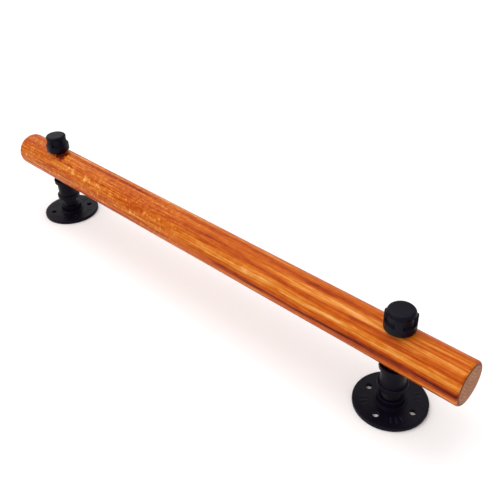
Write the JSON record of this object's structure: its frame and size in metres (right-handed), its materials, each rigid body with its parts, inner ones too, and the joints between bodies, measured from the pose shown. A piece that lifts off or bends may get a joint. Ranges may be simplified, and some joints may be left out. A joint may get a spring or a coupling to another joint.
{
  "type": "pull-up bar",
  "caption": "Wall-mounted pull-up bar: a round stained wooden grip on black iron pipe posts with bolted round flanges and screw-on caps.",
  "frame": {"origin": "on the wall plane, which is the backs of the flanges, midway between the two posts", "axes": "+X along the bar towards the right post, +Z out from the wall through the bar, +Y across the bar"},
  "size_m": [0.74, 0.08, 0.1291],
  "materials": {
    "stained_wood": "orange-brown stain under gloss varnish",
    "cast_iron": "semi-matt black coating over a sand-cast skin",
    "pipe_steel": "satin black lacquer on threaded pipe"
  },
  "bodies": {
    "root": {"grip_bar": "stained_wood", "left_floor_flange": "cast_iron", "right_floor_flange": "cast_iron", "left_lower_nipple": "pipe_steel", "right_lower_nipple": "pipe_steel", "left_coupling": "cast_iron", "right_coupling": "cast_iron"},
    "left_post_end": {"left_upper_nipple": "pipe_steel"},
    "right_post_end": {"right_upper_nipple": "pipe_steel"},
    "left_screw_cap": {"left_cap": "cast_iron"},
    "right_screw_cap": {"right_cap": "cast_iron"}
  },
  "joints": [
    {"name": "left_cap_turn", "type": "hinge", "parent": "root", "child": "left_post_end", "pos_m": [-0.292, 0, 0.1], "axis": [0, 0, 1], "range_deg": [0, 2700]},
    {"name": "left_cap_climb", "type": "slide", "parent": "left_post_end", "child": "left_screw_cap", "axis": [0, 0, 1], "range_m": [0, 0.01361]},
    {"name": "right_cap_turn", "type": "hinge", "parent": "root", "child": "right_post_end", "pos_m": [0.292, 0, 0.1], "axis": [0, 0, 1], "range_deg": [0, 2700]},
    {"name": "right_cap_climb", "type": "slide", "parent": "right_post_end", "child": "right_screw_cap", "axis": [0, 0, 1], "range_m": [0, 0.01361]}
  ],
  "couplings": [
    {"joint": "left_cap_climb", "follows": "left_cap_turn", "m_per_rad": 0.00028876},
    {"joint": "right_cap_climb", "follows": "right_cap_turn", "m_per_rad": 0.00028876}
  ]
}
